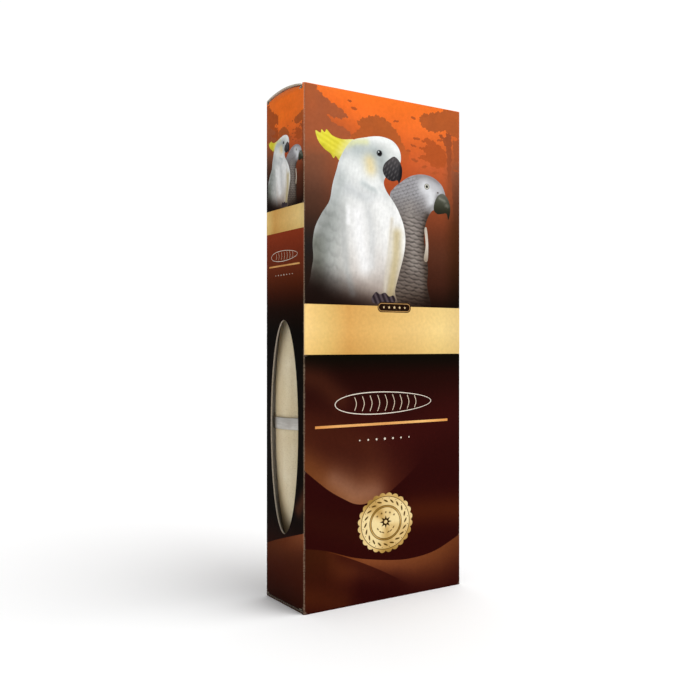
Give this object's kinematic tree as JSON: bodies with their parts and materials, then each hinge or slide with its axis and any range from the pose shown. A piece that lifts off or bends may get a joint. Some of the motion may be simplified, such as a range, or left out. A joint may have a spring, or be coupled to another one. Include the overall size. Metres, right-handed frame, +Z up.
{
  "type": "boxed cuttlebone",
  "caption": "Cuttlebone with a spring-steel cage clip, standing in a tuck-top folding carton with an oval window cut in one narrow side.",
  "frame": {"origin": "middle of the carton's footprint, on the surface it stands on", "axes": "+Z up the carton's height, the wide front faces -Y, the windowed narrow side faces -X"},
  "size_m": [0.065, 0.026, 0.1715],
  "materials": {
    "print": "satin",
    "sky": "satin",
    "board": "matte",
    "bone": "matte",
    "steel": "satin"
  },
  "bodies": {
    "carton": {"carton_sleeve": "print", "bottom_flap": "print", "bottom_dust_flap_left": "board", "bottom_dust_flap_right": "board", "cuttlebone": "bone", "bone_clip": "steel"},
    "lid": {"top_lid": "sky"},
    "tuck": {"top_tuck": "sky"},
    "dust_flap_left": {"top_dust_flap_left": "sky"},
    "dust_flap_right": {"top_dust_flap_right": "sky"}
  },
  "joints": [
    {"name": "lid_hinge", "type": "hinge", "parent": "carton", "child": "lid", "pos_m": [0, 0.01275, 0.16975], "axis": [-1, 0, 0], "range_deg": [0, 120]},
    {"name": "tuck_crease", "type": "hinge", "parent": "lid", "child": "tuck", "pos_m": [0, -0.01195, 0.16975], "axis": [-1, 0, 0], "range_deg": [0, 24]},
    {"name": "dust_crease_left", "type": "hinge", "parent": "carton", "child": "dust_flap_left", "pos_m": [-0.03225, 0, 0.1689], "axis": [0, -1, 0], "range_deg": [0, 33.6]},
    {"name": "dust_crease_right", "type": "hinge", "parent": "carton", "child": "dust_flap_right", "pos_m": [0.03225, 0, 0.1689], "axis": [0, 1, 0], "range_deg": [0, 33.6]}
  ],
  "couplings": [
    {"joint": "tuck_crease", "follows": "lid_hinge", "ratio": 0.2},
    {"joint": "dust_crease_left", "follows": "lid_hinge", "ratio": 0.28},
    {"joint": "dust_crease_right", "follows": "lid_hinge", "ratio": 0.28}
  ]
}
